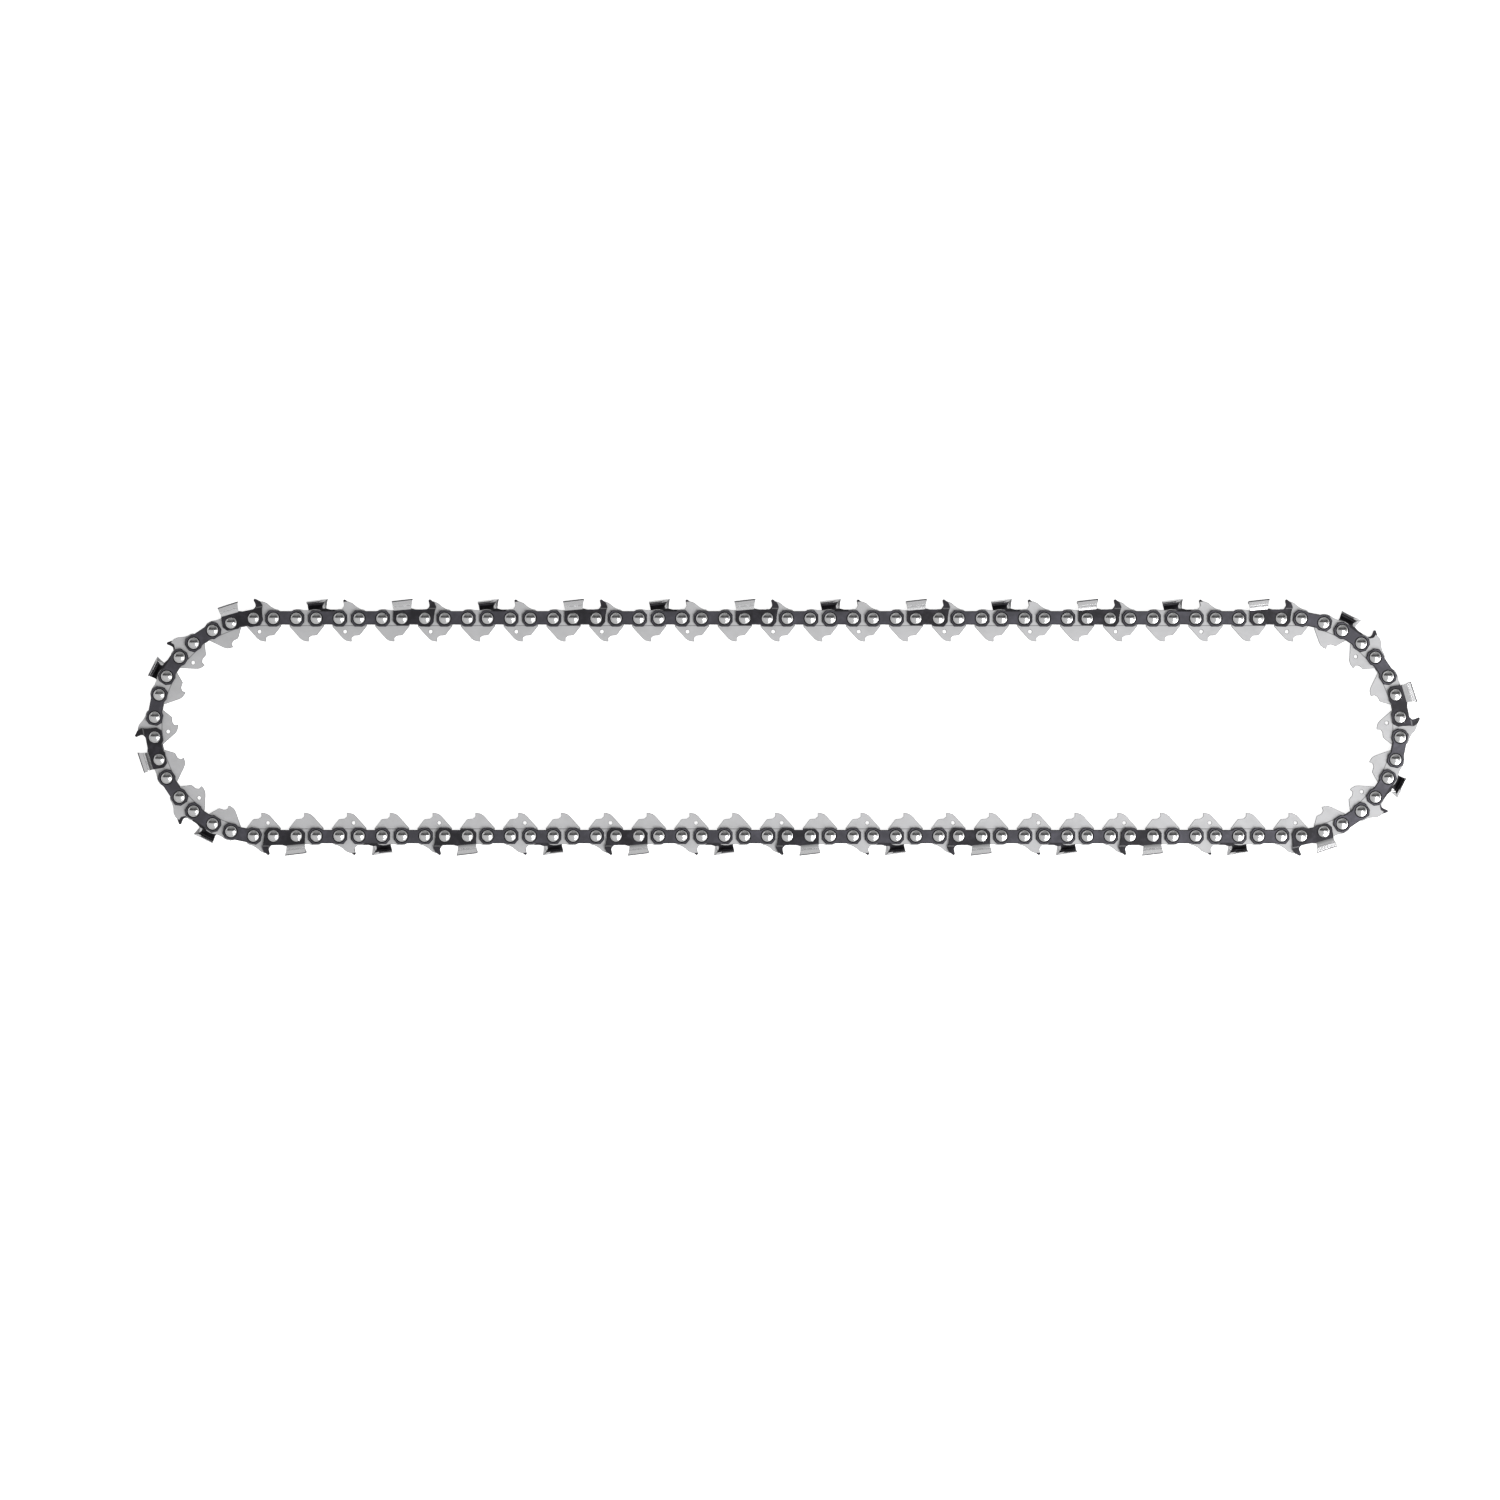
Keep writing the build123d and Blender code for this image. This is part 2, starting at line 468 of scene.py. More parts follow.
@dataclass(frozen=True)
class PlatedZone:
    """A part of the bent top's section with one plating, between limits of z and y."""

    plating: float
    z_from: float = -math.inf
    z_to: float = math.inf
    y_from: float = -math.inf
    y_to: float = math.inf

    def holds(self, z: float, y: float) -> bool:
        """Whether a point of the section is in the zone."""
        return self.z_from < z < self.z_to and self.y_from < y < self.y_to


@dataclass(frozen=True)
class Cutter:
    """A cutter: side plate with depth gauge, and a flared, plated top that bends over the chain."""

    strap: TieStrap = TieStrap()
    bevels: tuple[float, float] = (0.08, 0.22)
    side_plating: tuple[float, float] = (0.0, 0.03)
    side_plate: tuple[Corner, ...] = (
        (-7.8, -1.2, 0.5), (-6.4, -2.75, 0.7), (-2.1, -2.8, 0.6), (-1.2, -2.22, 0.8),
        (1.3, -2.22, 0.8), (2.6, -3.1, 0.9), (6.4, -3.25, 0.7), (7.9, -1.4, 0.5),
        (7.98, 0.6, 1.0), (8.35, 2.9, 1.0), (8.85, 4.4, 0.7), (8.2, 6.1, 0.9),
        (6.35, 7.5, 0.3), (5.8, 6.95, 0.25), (6.2, 5.3, 0.8), (6.15, 4.3, 0.9),
        (5.0, 3.5, 1.2), (0.9, 3.5, 1.2), (-0.75, 3.95, 0.4), (-7.7, 3.4, 0.1))

    # Section of the bent top, as z, y and radius; the first zone that holds a side plates it
    outer: tuple[Corner, ...] = (
        (1.86, 3.1, 0.0), (1.9, 3.62, 0.1), (2.35, 4.9, 0.8), (3.08, 5.5, 0.25), (3.08, 5.75, 0.0),
        (3.08, 5.95, 0.0), (3.08, 7.1, 0.0), (3.08, 7.68, 0.45), (2.4, 7.62, 0.0),
        (-1.12, 7.34, 0.0), (-1.58, 7.3, 0.35))
    inner: tuple[Corner, ...] = (
        (-1.58, 6.42, 0.22), (1.95, 6.65, 0.6), (1.95, 5.65, 0.2), (1.25, 5.0, 0.3),
        (0.72, 3.9, 0.3), (0.74, 3.1, 0.0))
    zones: tuple[PlatedZone, ...] = (
        PlatedZone(0.04, z_to=-1.57),  # cut edge of the top plate
        PlatedZone(0.5, z_to=-1.36, y_to=6.7),  # inner corner of that edge, half plated: a painted reflection line in the bend
        PlatedZone(0.12, z_from=2.62, y_from=7.22),  # outer corner, nearly unplated: a painted dark reflection along the bend
        PlatedZone(1.0, y_from=6.9),  # top plate
        PlatedZone(1.0, z_from=1.97, y_from=3.62))  # flare
    end_plating: tuple[float, float] = (0.9, 0.1)

    # Course of the bent top, from its filed front to its rear
    front: float = -0.25
    rear: float = -8.3
    reach: float = 3.08
    filing: float = math.tan(math.radians(30))
    hook: tuple[Point, ...] = (  # height, and how far ahead the front edge stands there
        (3.1, 1.5), (3.55, 0.9), (4.0, 0.1), (4.5, -0.2), (5.2, -0.35), (6.3, -0.4),
        (7.0, -0.25), (7.4, 0.1), (7.7, 0.42))
    relief: float = 0.6  # how far back the inside of the side plate is ground
    relief_top: float = 6.6
    relief_run: float = 0.9
    relief_inside: float = 2.2
    crest: float = 7.4  # height below which the rear leans and the fall fades
    lean: float = 0.2
    fall: float = math.tan(math.radians(7))
    fall_fade: float = 0.08
    tail: tuple[Point, ...] = ((0.5, 0.0), (0.18, 0.0), (0.0, 0.1))  # distance to the rear, taper
    taper_outside: float = 2.5

    # Crease across the depth gauge, as length, y and height over the side plate
    crease_from: float = 6.1
    crease: tuple[Place, ...] = (
        (2.55, 3.55, -0.1), (2.6, 3.65, 0.05), (2.65, 4.05, 0.05), (2.7, 4.15, -0.1))
    crease_plating: tuple[float, ...] = (0.0, 0.18, 0.0, 0.0)
    crease_ends: tuple[float, float] = (0.0, 0.0)

    def plated(self, z: float, y: float) -> float:
        """The plating of the bent top at a point of its section."""
        return next((zone.plating for zone in self.zones if zone.holds(z, y)), 0.0)

    def section(self) -> tuple[list[Point], list[float]]:
        """Draws the section of the bent top.

        Returns:
            Its (z, y) points, and the plating of the side that follows each of them.
        """
        points = rounded(self.outer + self.inner)
        sides = zip(points, points[1:] + points[:1])
        plating = [self.plated((z + then_z) / 2, (y + then_y) / 2)
                   for (z, y), (then_z, then_y) in sides]
        return points, plating

    def hooked(self, height: float) -> float:
        """Reads the curve of the filed front edge.

        Args:
            height: A height on the front.

        Returns:
            How far the edge stands ahead of its corner there.
        """
        for (low, ahead), (high, then) in zip(self.hook, self.hook[1:]):
            if height <= high:
                share = max(0.0, (height - low) / (high - low))
                return ahead + share * (then - ahead)
        return self.hook[-1][1]

    def ground(self, z: float, y: float) -> float:
        """How much further back the inside of the side plate is ground at a section point."""
        share = min(1.0, max(0.0, (self.relief_top - y) / self.relief_run))
        return self.relief * share if z < self.relief_inside else 0.0

    def filed(self, z: float, y: float) -> float:
        """Where the filed front stands at a point of the section."""
        back = (self.reach - z) * self.filing
        return self.front + self.hooked(y) - back - self.ground(z, y)

    def below_crest(self, y: float) -> float:
        """How far a height lies below the crest."""
        return max(0.0, self.crest - y)

    def fallen(self, x: float, y: float) -> float:
        """A height on the bent top once the top falls towards the rear."""
        fade = 1 - self.fall_fade * self.below_crest(y)
        return y - max(0.0, self.front - x) * self.fall * fade

    def course(self, points: Sequence[Point]) -> list[list[Place]]:
        """Lays the section along the bent top, from front to rear.

        Args:
            points: The section's (z, y) points.

        Returns:
            The rings of points along the top.
        """
        rings = [[(self.filed(z, y), y, z) for z, y in points]]
        for ahead, taper in self.tail:
            rings.append([(self.rear + ahead + self.below_crest(y) * self.lean, y,
                           z - taper if z > self.taper_outside else z) for z, y in points])
        return [[(x, self.fallen(x, y), z) for x, y, z in ring] for ring in rings]

    def build(self, side: Side) -> bpy.types.Mesh:
        """Makes a cutter.

        Args:
            side: The side of the chain that it lies on.

        Returns:
            The cutter's mesh.
        """
        blank = Blank()
        strap = self.strap
        blank.plate(rounded(self.side_plate), strap.seats(), strap.levels, self.bevels,
                    self.side_plating)
        points, plating = self.section()
        blank.bar(self.course(points), plating, self.end_plating)
        ridge = [[(self.crease_from + end * length, y, strap.levels[1] + rise)
                  for length, y, rise in self.crease] for end in (0, 1)]
        blank.bar(ridge, self.crease_plating, self.crease_ends)
        return blank.finish(f"cutter_{side.name.lower()}", side)


@dataclass(frozen=True)
class Rivet:
    """A rivet: a crowned head with a rolled rim on each side, in a seat painted near-black as
    shade.
    """

    sides: int = 20
    # the seat ring, plated 0, is painted near-black as the shade round the head
    seat: tuple[Turned, ...] = ((2.45, 1.35, 0.0), (2.45, 1.62, 0.0))
    # the wall, half plated, and the groove inside the rim, at 0.6, are painted shade
    head: tuple[Turned, ...] = (
        (2.14, 1.62, 0.5), (2.14, 2.02, 1.0), (2.02, 2.13, 1.0), (1.86, 2.15, 0.6),
        (1.76, 2.06, 1.0), (1.0, 2.32, 1.0))
    crown: Turned = (0.0, 2.44, 1.0)

    def build(self) -> bpy.types.Mesh:
        """Makes a rivet with its axis at the origin.

        Returns:
            The rivet's mesh.
        """
        blank = Blank()
        upper = [*self.seat, *self.head]
        lower = [(radius, -z, upper[max(0, index - 1)][2])
                 for index, (radius, z, _) in enumerate(upper)][::-1]
        radius, top, plating = self.crown
        blank.lathe([(radius, -top, plating), *lower, *upper, self.crown], self.sides)
        return blank.finish("rivet")


class Value:
    """A number in a node tree, which Python's operators work on."""

    def __init__(self, tree: "Nodes", socket: bpy.types.NodeSocket) -> None:
        """Wraps an output socket of a tree."""
        self.tree = tree
        self.socket = socket

    def _math(self, operation: str, *inputs: "Number") -> "Value":
        """Adds a Math node on some numbers."""
        settings = {"operation": operation}
        return self.tree.value("ShaderNodeMath", settings, dict(enumerate(inputs)))

    def __add__(self, other: "Number") -> "Value":
        """Sum."""
        return self._math("ADD", self, other)

    def __radd__(self, other: "Number") -> "Value":
        """Sum, reflected."""
        return self._math("ADD", other, self)

    def __sub__(self, other: "Number") -> "Value":
        """Difference."""
        return self._math("SUBTRACT", self, other)

    def __rsub__(self, other: "Number") -> "Value":
        """Difference, reflected."""
        return self._math("SUBTRACT", other, self)

    def __mul__(self, other: "Number") -> "Value":
        """Product."""
        return self._math("MULTIPLY", self, other)

    def __rmul__(self, other: "Number") -> "Value":
        """Product, reflected."""
        return self._math("MULTIPLY", other, self)

    def distance(self, other: "Number") -> "Value":
        """Distance from another number."""
        return self._math("ABSOLUTE", self - other)

    def ramp(self, low: float, high: float) -> "Value":
        """0 below low, 1 above high, and smooth between; high may be the lower of the two."""
        inputs = {"Value": self, "From Min": low, "From Max": high}
        return self.tree.value("ShaderNodeMapRange", {"interpolation_type": "SMOOTHSTEP"}, inputs)


Number = Union[Value, float]


@dataclass(frozen=True)
class Grain:
    """Noise on Object coordinates.

    Args:
        scale: Its cells to the metre.
        detail: The number of finer layers.
        stretch: How much closer the cells lie along each axis.
        roughness: The weight of the finer layers.
    """

    scale: float
    detail: float
    stretch: Place = (1.0, 1.0, 1.0)
    roughness: float = 0.6


def opaque(paint: Paint) -> object:
    """A colour with its alpha; a socket stays as it is."""
    return (*paint, 1.0) if isinstance(paint, tuple) else paint


class Nodes:
    """Builds the nodes of one material, world or geometry tree."""

    def __init__(self, tree: bpy.types.NodeTree) -> None:
        """Starts on a tree, which it empties."""
        self.tree = tree
        tree.nodes.clear()

    def node(self, kind: str, settings: dict | None = None,
             inputs: dict | None = None) -> bpy.types.Node:
        """Adds a node.

        Args:
            kind: The node's type.
            settings: Its properties, set first.
            inputs: Values or links of its input sockets, by name or index.

        Returns:
            The new node.
        """
        made = self.tree.nodes.new(kind)
        for name, setting in (settings or {}).items():
            setattr(made, name, setting)
        for key, given in (inputs or {}).items():
            socket = made.inputs[key]
            if isinstance(given, Value):
                given = given.socket
            if isinstance(given, bpy.types.NodeSocket):
                self.tree.links.new(given, socket)
            else:
                socket.default_value = given
        return made

    def value(self, kind: str, settings: dict | None = None, inputs: dict | None = None,
              output: int | str = 0) -> Value:
        """Adds a node and wraps one of its outputs."""
        return Value(self, self.node(kind, settings, inputs).outputs[output])

    def blend(self, factor: Number, first: Paint, second: Paint) -> bpy.types.NodeSocket:
        """Mixes two colours."""
        inputs = {"Factor": factor, MIX_FIRST: opaque(first), MIX_SECOND: opaque(second)}
        return self.node("ShaderNodeMix", {"data_type": "RGBA"}, inputs).outputs[MIX_RESULT]

    def bump(self, height: Value, strength: float, depth: float) -> bpy.types.NodeSocket:
        """A normal that follows a height, in metres of depth."""
        inputs = {"Strength": strength, "Distance": depth, "Height": height}
        return self.node("ShaderNodeBump", inputs=inputs).outputs[0]

    def grain(self, grain: Grain) -> Value:
        """Adds noise on Object coordinates.

        Args:
            grain: The noise.

        Returns:
            Its value, from 0 to 1.
        """
        place = self.node("ShaderNodeTexCoord").outputs["Object"]
        spread = self.node("ShaderNodeMapping", inputs={"Vector": place, "Scale": grain.stretch})
        return self.value("ShaderNodeTexNoise", inputs={
            "Vector": spread.outputs[0], "Scale": grain.scale, "Detail": grain.detail,
            "Roughness": grain.roughness})

    def outward(self) -> Value:
        """Finds how far out of the loop a surface point lies on its link.

        Returns:
            The distance from the rivet line, in millimetres.
        """
        corner = self.node("ShaderNodeUVMap", {"uv_map": UV_MAP}).outputs[0]
        out = self.value("ShaderNodeSeparateXYZ", inputs={0: corner}, output=1)
        return (out - UV_MIDDLE) * UV_SPAN

    def plated(self) -> Value:
        """The plating of a face, which also carries painted shade and painted reflections."""
        return self.value("ShaderNodeAttribute", {"attribute_name": PLATING_AND_PAINTED_LIGHT}, output="Fac")

    def rays(self) -> tuple[Value, Value]:
        """Tells where a ray comes from.

        Returns:
            Whether it comes from the camera, and whether from a mirror or through glass.
        """
        path = self.node("ShaderNodeLightPath").outputs
        camera, glossy, through = (
            Value(self, path[f"Is {kind} Ray"]) for kind in ("Camera", "Glossy", "Transmission"))
        return camera, glossy + through


@dataclass(frozen=True)
class Finish:
    """A steel finish, which its own class details.

    Args:
        name: The material's name.
        slot: A slot name for its pieces; not used.
    """

    name: str
    slot: str

    def surface(self, nodes: Nodes) -> dict[str, object]:
        """The inputs of the finish's shader, by name."""
        raise NotImplementedError

    def material(self) -> bpy.types.Material:
        """Makes the material.

        Returns:
            The material with its nodes.
        """
        material = bpy.data.materials.new(self.name)
        material.use_nodes = True
        nodes = Nodes(material.node_tree)
        shader = nodes.node("ShaderNodeBsdfPrincipled", inputs=self.surface(nodes))
        nodes.node("ShaderNodeOutputMaterial", inputs={"Surface": shader.outputs[0]})
        return material


@dataclass(frozen=True)
class SatinSteel(Finish):
    """Bare satin steel of the drive links, with painted shade along the cut edges and darker at the
    shoulder line.
    """

    face: Colour = (0.60, 0.60, 0.61)
    shade: Colour = (0.52, 0.52, 0.525)
    # painted shade: colour of the cut edges and bevels, darker than the faces
    edge: Colour = (0.26, 0.26, 0.265)
    line: Colour = (0.20, 0.20, 0.205)
    clouds: Grain = Grain(160, 3)
    cloud_ramp: Point = (0.35, 0.75)
    cloud_weight: float = 0.6
    shoulder: float = -2.75
    line_ramp: Point = (0.24, 0.08)
    line_weight: float = 0.8
    scratches: Grain = Grain(900, 2, (0.25, 1.0, 1.0))
    roughness: float = 0.5
    scratch_roughness: float = 0.16
    bump_strength: float = 0.12
    bump_depth: float = 0.00005  # metres
    metallic: float = 0.7

    def surface(self, nodes: Nodes) -> dict[str, object]:
        """Mixes the satin steel.

        Args:
            nodes: The material's nodes.

        Returns:
            The inputs of its shader, by name.
        """
        cloud = nodes.grain(self.clouds).ramp(*self.cloud_ramp)
        line = nodes.outward().distance(self.shoulder).ramp(*self.line_ramp)
        scratch = nodes.grain(self.scratches)
        face = nodes.blend(cloud * self.cloud_weight, self.face, self.shade)
        face = nodes.blend(line * self.line_weight, face, self.line)
        return {
            "Base Color": nodes.blend(nodes.plated(), self.edge, face),
            "Metallic": self.metallic,
            "Roughness": self.roughness + scratch * self.scratch_roughness,
            "Normal": nodes.bump(scratch, self.bump_strength, self.bump_depth),
        }


@dataclass(frozen=True)
class BlackOxide(Finish):
    """Blackened steel of the straps, with a violet cast and painted shade on the edges."""

    face: Colour = (0.074, 0.072, 0.084)
    cast: Colour = (0.106, 0.103, 0.124)
    # painted shade: colour of the bevels and sides, darker than the faces
    rim: Colour = (0.040, 0.039, 0.045)
    clouds: Grain = Grain(210, 4)
    cloud_ramp: Point = (0.4, 0.72)
    specks: Grain = Grain(2600, 2)
    roughness: float = 0.26
    speck_roughness: float = 0.16
    bump_strength: float = 0.1
    bump_depth: float = 0.00004  # metres
    metallic: float = 0.7

    def surface(self, nodes: Nodes) -> dict[str, object]:
        """Mixes the black oxide.

        Args:
            nodes: The material's nodes.

        Returns:
            The inputs of its shader, by name.
        """
        cloud = nodes.grain(self.clouds).ramp(*self.cloud_ramp)
        speck = nodes.grain(self.specks)
        face = nodes.blend(cloud, self.face, self.cast)
        return {
            "Base Color": nodes.blend(nodes.plated(), self.rim, face),
            "Metallic": self.metallic,
            "Roughness": self.roughness + speck * self.speck_roughness,
            "Normal": nodes.bump(speck, self.bump_strength, self.bump_depth),
        }


@dataclass(frozen=True)
class PlatedCutter(Finish):
    """Black cutter body that turns to hard chrome over the flared top and the filed edges."""

    body: Colour = (0.028, 0.027, 0.031)
    cast: Colour = (0.054, 0.051, 0.062)
    chrome: Colour = (0.78, 0.78, 0.79)
    clouds: Grain = Grain(210, 4)
    cloud_ramp: Point = (0.4, 0.72)
    specks: Grain = Grain(2200, 2)
    speck_weight: float = 0.08  # how much of the chrome a speck takes away
    body_roughness: float = 0.3
    speck_roughness: float = 0.1
    polish: float = 0.18  # how much smoother the chrome is
    bump_strength: float = 0.06
    bump_depth: float = 0.00004  # metres
    body_metallic: float = 0.7

    def surface(self, nodes: Nodes) -> dict[str, object]:
        """Mixes the black body and its chrome.

        Args:
            nodes: The material's nodes.

        Returns:
            The inputs of its shader, by name.
        """
        plated = nodes.plated()
        cloud = nodes.grain(self.clouds).ramp(*self.cloud_ramp)
        speck = nodes.grain(self.specks)
        body = nodes.blend(cloud, self.body, self.cast)
        smooth = plated * self.polish
        return {
            "Base Color": nodes.blend(plated * (1 - speck * self.speck_weight), body, self.chrome),
            "Metallic": self.body_metallic + plated * (1 - self.body_metallic),
            "Roughness": self.body_roughness + speck * self.speck_roughness - smooth,
            "Normal": nodes.bump(speck, self.bump_strength, self.bump_depth),
        }


@dataclass(frozen=True)
class PolishedRivet(Finish):
    """Polished rivet heads in seats painted near-black as shade."""

    head: Colour = (0.78, 0.78, 0.785)
    # painted shade: near-black colour of the seat ring and of the head's darker bands
    seat: Colour = (0.012, 0.012, 0.014)
    scratches: Grain = Grain(1500, 2)
    scratch_weight: float = 0.12  # how much of the polish a scratch takes away
    head_roughness: float = 0.1
    scratch_roughness: float = 0.12
    seat_roughness: float = 0.3  # how much rougher the seat is
    seat_metallic: float = 0.3

    def surface(self, nodes: Nodes) -> dict[str, object]:
        """Mixes the polished steel and its seat.

        Args:
            nodes: The material's nodes.

        Returns:
            The inputs of its shader, by name.
        """
        plated = nodes.plated()
        scratch = nodes.grain(self.scratches)
        bright = plated * (1 - scratch * self.scratch_weight)
        rough = (1 - plated) * self.seat_roughness
        return {
            "Base Color": nodes.blend(bright, self.seat, self.head),
            "Metallic": self.seat_metallic + plated * (1 - self.seat_metallic),
            "Roughness": self.head_roughness + scratch * self.scratch_roughness + rough,
        }


class LinkRow:
    """Geometry Nodes that stand a piece's shapes on the points of its links."""

    def __init__(self) -> None:
        """Builds the tree with its named inputs."""
        self.tree = bpy.data.node_groups.new("link_row", "GeometryNodeTree")
        face = self.tree.interface
        face.new_socket("Geometry", in_out="INPUT", socket_type="NodeSocketGeometry")
        sockets = {"Shapes": "NodeSocketCollection", "Finish": "NodeSocketMaterial",
                   "Chain Height": "NodeSocketFloat"}
        self.inputs = {name: face.new_socket(name, in_out="INPUT", socket_type=kind).identifier
                       for name, kind in sockets.items()}
        face.new_socket("Geometry", in_out="OUTPUT", socket_type="NodeSocketGeometry")
        nodes = Nodes(self.tree)
        given = nodes.node("NodeGroupInput").outputs
        lift = nodes.node("ShaderNodeCombineXYZ", inputs={"Z": given["Chain Height"]})
        points = nodes.node("GeometryNodeSetPosition", inputs={
            "Geometry": given[0], "Offset": lift.outputs[0]})
        shapes = nodes.node("GeometryNodeCollectionInfo", inputs={
            "Collection": given["Shapes"], "Separate Children": True, "Reset Children": True})
        heading, variant = (
            nodes.node("GeometryNodeInputNamedAttribute", {"data_type": kind}, {"Name": name})
            for name, kind in ((HEADING, "FLOAT"), (VARIANT, "INT")))
        turn = nodes.node("ShaderNodeCombineXYZ", inputs={"Z": heading.outputs[0]})
        rotation = nodes.node("FunctionNodeEulerToRotation", inputs={0: turn.outputs[0]})
        placed = nodes.node("GeometryNodeInstanceOnPoints", inputs={
            "Points": points.outputs[0], "Instance": shapes.outputs[0], "Pick Instance": True,
            "Instance Index": variant.outputs[0], "Rotation": rotation.outputs[0]})
        real = nodes.node("GeometryNodeRealizeInstances", inputs={"Geometry": placed.outputs[0]})
        dressed = nodes.node("GeometryNodeSetMaterial", inputs={
            "Geometry": real.outputs[0], "Material": given["Finish"]})
        nodes.node("NodeGroupOutput", inputs={0: dressed.outputs[0]})

    def lay(self, name: str, spots: Sequence[Spot], shapes: bpy.types.Collection,
            finish: bpy.types.Material, height: float) -> bpy.types.Object:
        """Stands shapes on spots and makes one plain mesh of them.

        Args:
            name: The piece's name.
            spots: Where the copies stand.
            shapes: The shapes, in the order of their names.
            finish: The piece's material.
            height: The height of the chain's middle.

        Returns:
            The piece.
        """
        places, headings, variants = zip(*spots)
        points = bpy.data.meshes.new(f"{name}_points")
        points.from_pydata([(x * MM, y * MM, 0.0) for x, y in places], [], [])
        for key, kind, values in ((HEADING, "FLOAT", headings), (VARIANT, "INT", variants)):
            points.attributes.new(key, kind, "POINT").data.foreach_set("value", values)
        piece = bpy.data.objects.new(name, points)
        bpy.context.scene.collection.objects.link(piece)
        row = piece.modifiers.new("link_row", "NODES")
        row.node_group = self.tree
        for key, value in (("Shapes", shapes), ("Finish", finish), ("Chain Height", height * MM)):
            row[self.inputs[key]] = value
        depsgraph = bpy.context.evaluated_depsgraph_get()
        mesh = bpy.data.meshes.new_from_object(piece.evaluated_get(depsgraph))
        piece.modifiers.remove(row)
        mesh.name = name
        piece.data = mesh
        bpy.data.meshes.remove(points)
        return piece


@dataclass(frozen=True)
class ChainLoop:
    """The whole loop: its layout, finishes and pieces."""

    layout: ChainLayout = ChainLayout()
    satin: Finish = SatinSteel("satin_steel", "drive_link_steel")
    oxide: Finish = BlackOxide("black_oxide", "strap_steel")
    plated: Finish = PlatedCutter("plated_cutter", "cutter_steel")
    polished: Finish = PolishedRivet("polished_rivet", "rivet_steel")

    def recipes(self) -> dict[PieceKind, tuple[Finish, list[bpy.types.Mesh]]]:
        """Makes the shapes of every kind of piece.

        Returns:
            Each kind's finish and shapes.
        """
        strap, cutter = TieStrap(), Cutter()
        return {
            PieceKind.PLAIN: (self.satin, [DriveLink(guard=False).build()]),
            PieceKind.GUARD: (self.satin, [DriveLink(guard=True).build()]),
            PieceKind.STRAPS: (self.oxide, [strap.build(side) for side in Side]),
            PieceKind.LEFT_CUTTER: (self.plated, [cutter.build(Side.LOWER)]),
            PieceKind.RIGHT_CUTTER: (self.plated, [cutter.build(Side.UPPER)]),
            PieceKind.RIVETS: (self.polished, [Rivet().build()]),
        }

    def collect(self, name: str, meshes: Sequence[bpy.types.Mesh]) -> bpy.types.Collection:
        """Puts shapes into a collection, named in their order.

        Args:
            name: The collection's name.
            meshes: The shapes.

        Returns:
            The collection.
        """
        shapes = bpy.data.collections.new(name)
        for index, mesh in enumerate(meshes):
            shapes.objects.link(bpy.data.objects.new(f"{name}_{index}", mesh))
        return shapes

    def spots(self, links: Sequence[LinkPlace], kind: PieceKind) -> list[Spot]:
        """Finds the spots of one kind of piece.

        Args:
            links: The links of a section.
            kind: The piece's kind.

        Returns:
            Where its copies stand.
        """
        outers = [link for link in links if not link.kind.drives]
        if kind is PieceKind.RIVETS:
            half = self.layout.strap_holes / 2
            return [(link.spot(end * half), link.heading, 0) for link in outers for end in ENDS]
        if kind is PieceKind.STRAPS:
            # A right cutter takes the place of an upper strap, and a left one that of a lower
            cutters = (PieceKind.RIGHT_CUTTER, PieceKind.LEFT_CUTTER)
            return [(link.middle, link.heading, number) for number, cutter in enumerate(cutters)
                    for link in outers if link.kind is not cutter]
        return [(link.middle, link.heading, 0) for link in links if link.kind is kind]

    def build(self) -> list[bpy.types.Object]:
        """Builds and dresses every piece, one for each node of the part.

        Returns:
            The pieces.
        """
        finishes = (self.satin, self.oxide, self.plated, self.polished)
        materials = {finish: finish.material() for finish in finishes}
        row = LinkRow()
        links = self.layout.links()
        pieces = []
        for kind, (finish, meshes) in self.recipes().items():
            shapes = self.collect(kind.value, meshes)
            for section in dict.fromkeys(link.section for link in links):
                spots = self.spots([link for link in links if link.section == section], kind)
                if not spots:
                    continue
                node = f"{section}_{kind.value}"
                piece = row.lay(f"{node}_piece", spots, shapes, materials[finish],
                                self.layout.middle_height)
                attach(piece, section)
                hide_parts(node)
                faces = len(piece.data.polygons)
                log.info("%s: %d copies, %d faces", piece.name, len(spots), faces)
                pieces.append(piece)
            for shape in list(shapes.objects):
                bpy.data.objects.remove(shape)
            bpy.data.collections.remove(shapes)
        return pieces


@dataclass(frozen=True)
class Softbox:
    """A soft square lamp.

    Args:
        name: The lamp's name.
        place: Where it hangs, in metres.
        aim: The point that it faces, in metres.
        side: The length of its sides, in metres.
        power: Its power in watts.
    """

    name: str
    place: Place
    aim: Place
    side: float
    power: float

    def build(self) -> None:
        """Hangs the lamp."""
        light = bpy.data.lights.new(self.name, "AREA")
        light.shape, light.size, light.size_y = "RECTANGLE", self.side, self.side
        light.energy = self.power
        lamp = bpy.data.objects.new(self.name, light)
        lamp.location = self.place
        way = Vector(self.aim) - Vector(self.place)
        lamp.rotation_euler = way.to_track_quat("-Z", "Y").to_euler()
        bpy.context.scene.collection.objects.link(lamp)


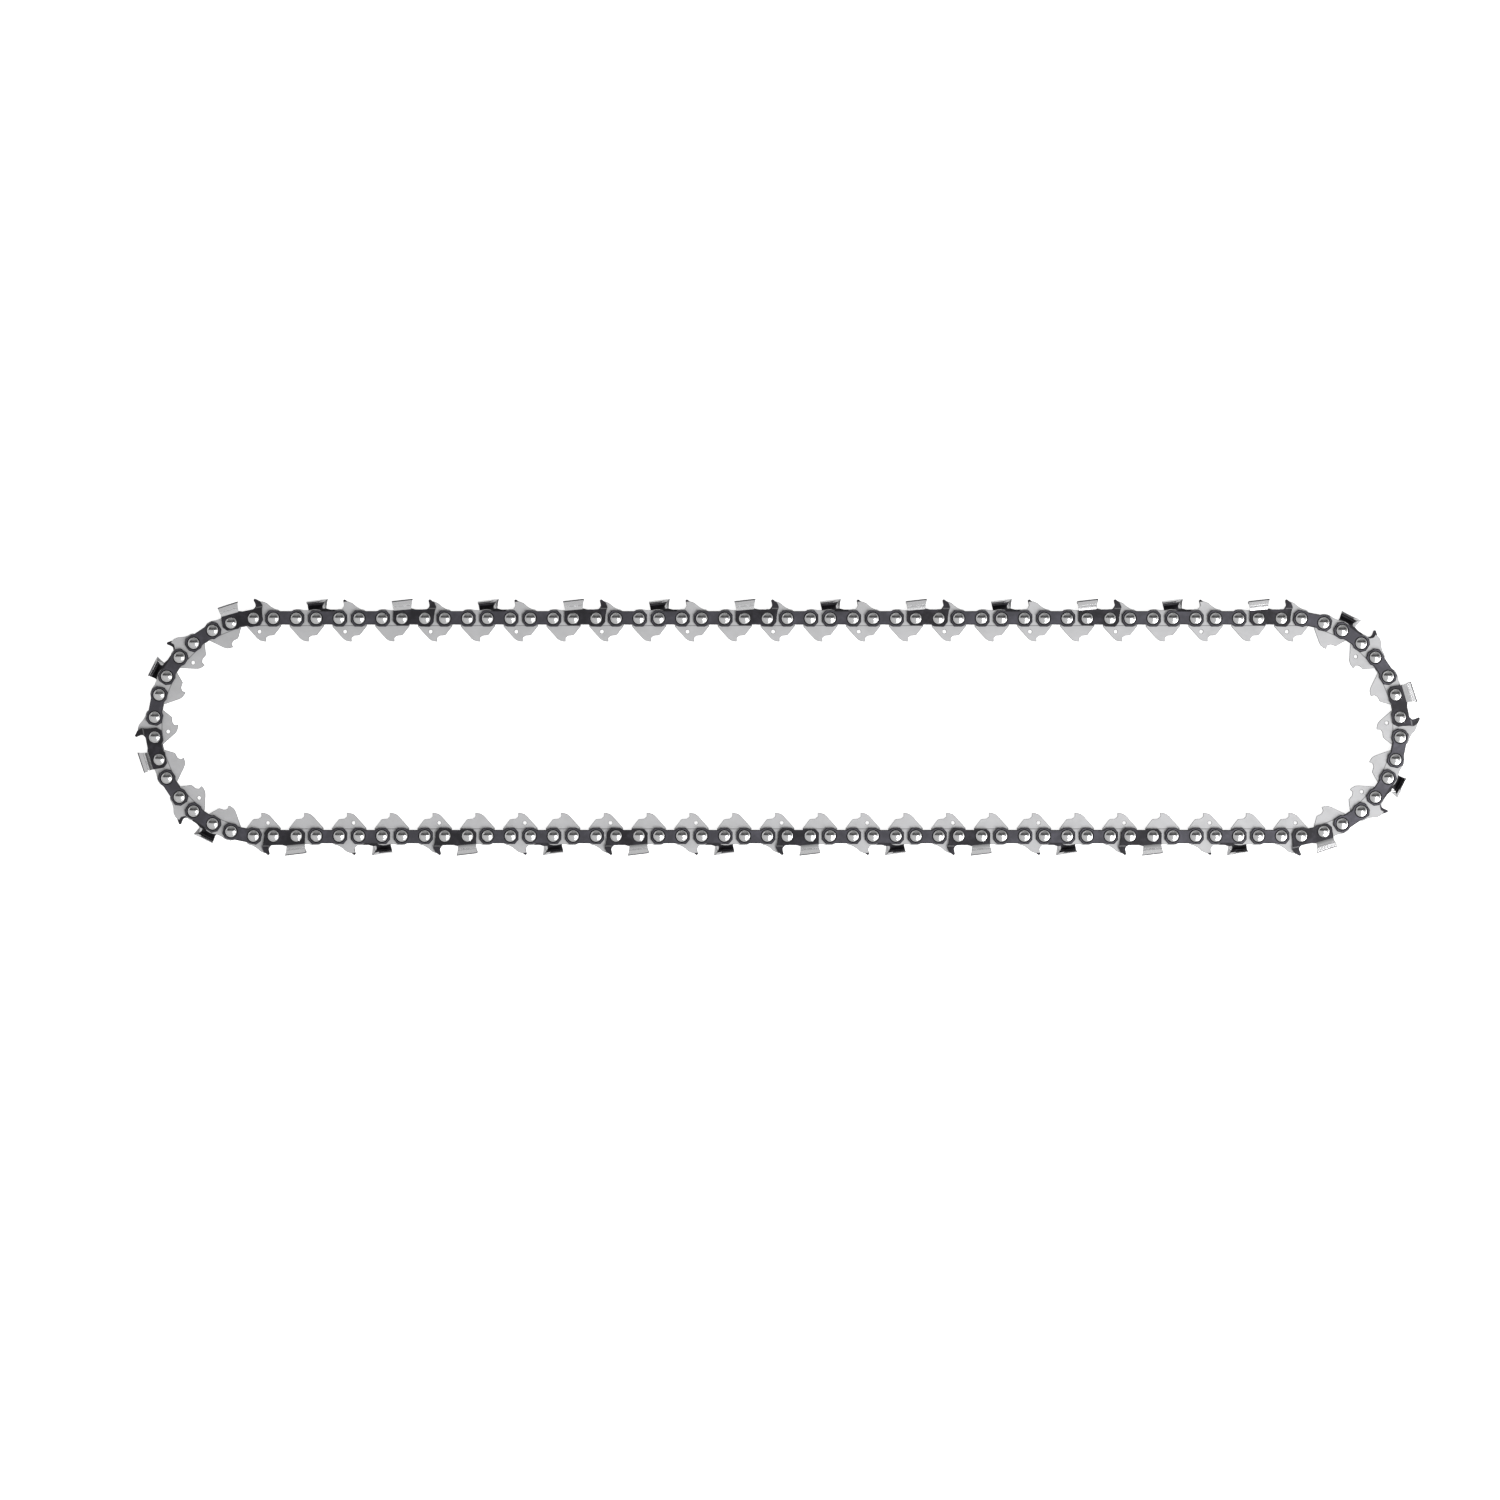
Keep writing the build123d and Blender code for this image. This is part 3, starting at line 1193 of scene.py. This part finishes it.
@dataclass(frozen=True)
class Studio:
    """White floor, soft light from the front, a darker back, and the camera straight above."""

    frame_width: float = 578.6
    aim: Place = (-10.56, -8.78, 3.1)
    lens: float = 150.0
    sensor: float = 36.0
    floor_size: float = 8.0  # metres
    floor_drop: float = 0.2  # keeps the floor clear of the chain's lower side
    floor_colour: Colour = (0.9, 0.9, 0.9)
    floor_glow: float = 0.8
    mirrored_glow: float = 0.2
    dim_side: float = 0.08
    front_wall: float = 0.72
    front_ramp: Point = (0.14, 0.11)  # over the Y of a direction, as is the next
    rear_wall: float = 0.6
    rear_ramp: Point = (0.3, 0.8)
    horizon_ramp: Point = (0.35, 0.15)  # over the Z of a direction
    softboxes: tuple[Softbox, ...] = (
        Softbox("top_softbox", (1.05, -0.42, 2.6), (1.05, -0.42, 0.0), 0.8, 15.0),
        Softbox("side_softbox", (1.0, -0.95, 1.25), (0.0, 0.0, 0.0), 1.2, 19.0))

    def white(self) -> bpy.types.Material:
        """Makes the floor's material, which glows for a camera or a mirror and keeps the shadow.

        Returns:
            The material.
        """
        material = bpy.data.materials.new("white_floor")
        material.use_nodes = True
        nodes = Nodes(material.node_tree)
        camera, mirrored = nodes.rays()
        glow = camera * self.floor_glow + mirrored * self.mirrored_glow
        matt = nodes.node("ShaderNodeBsdfDiffuse", inputs={"Color": opaque(self.floor_colour)})
        lit = nodes.node("ShaderNodeEmission", inputs={"Strength": glow})
        both = nodes.node("ShaderNodeAddShader", inputs={0: matt.outputs[0], 1: lit.outputs[0]})
        nodes.node("ShaderNodeOutputMaterial", inputs={"Surface": both.outputs[0]})
        return material

    def floor(self) -> None:
        """Lays the floor."""
        half = self.floor_size / 2
        square = [(-half, -half, 0), (half, -half, 0), (half, half, 0), (-half, half, 0)]
        mesh = bpy.data.meshes.new("floor")
        mesh.from_pydata(square, [], [(0, 1, 2, 3)])
        mesh.materials.append(self.white())
        floor = bpy.data.objects.new("floor", mesh)
        floor.location.z = -self.floor_drop * MM
        bpy.context.scene.collection.objects.link(floor)

    def sky(self) -> None:
        """Lights the room: bright in front, dimmer behind, white for the camera and low mirrors."""
        world = bpy.data.worlds.new("studio")
        bpy.context.scene.world = world
        world.use_nodes = True
        nodes = Nodes(world.node_tree)
        way = nodes.node("ShaderNodeTexCoord").outputs["Generated"]
        parts = nodes.node("ShaderNodeSeparateXYZ", inputs={0: way}).outputs
        back, up = Value(nodes, parts["Y"]), Value(nodes, parts["Z"])
        camera, mirrored = nodes.rays()
        seen = camera + mirrored * up.ramp(*self.horizon_ramp)
        rear = back.ramp(*self.rear_ramp) * self.rear_wall
        front = back.ramp(*self.front_ramp) * self.front_wall
        strength = seen + (1 - seen) * (self.dim_side + rear + front)
        sky = nodes.node("ShaderNodeBackground", inputs={"Strength": strength})
        nodes.node("ShaderNodeOutputWorld", inputs={"Surface": sky.outputs[0]})

    def camera(self) -> None:
        """Adds the camera, which looks straight down on the loop."""
        data = bpy.data.cameras.new("camera")
        data.lens, data.sensor_width = self.lens, self.sensor
        camera = bpy.data.objects.new("camera", data)
        x, y, z = self.aim
        distance = self.frame_width * self.lens / self.sensor
        camera.location = (x * MM, y * MM, (z + distance) * MM)
        bpy.context.scene.collection.objects.link(camera)
        bpy.context.scene.camera = camera

    def build(self) -> None:
        """Sets up the floor, the light and the camera."""
        bpy.context.scene.view_settings.view_transform = "Standard"
        self.floor()
        self.sky()
        for softbox in self.softboxes:
            softbox.build()
        self.camera()


def corners(box: Sequence[Vector]) -> list[list[float]]:
    """A box's two corners as plain lists."""
    return [[float(number) for number in corner] for corner in box]


def main() -> None:
    """Loads the part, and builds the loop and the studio."""
    logging.basicConfig(level=logging.INFO, format="%(name)s: %(message)s")
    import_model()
    pieces = ChainLoop().build()
    Studio().build()
    faces = sum(len(piece.data.polygons) for piece in pieces)
    log.info("%d pieces, %d faces", len(pieces), faces)


if __name__ == "__main__":
    main()
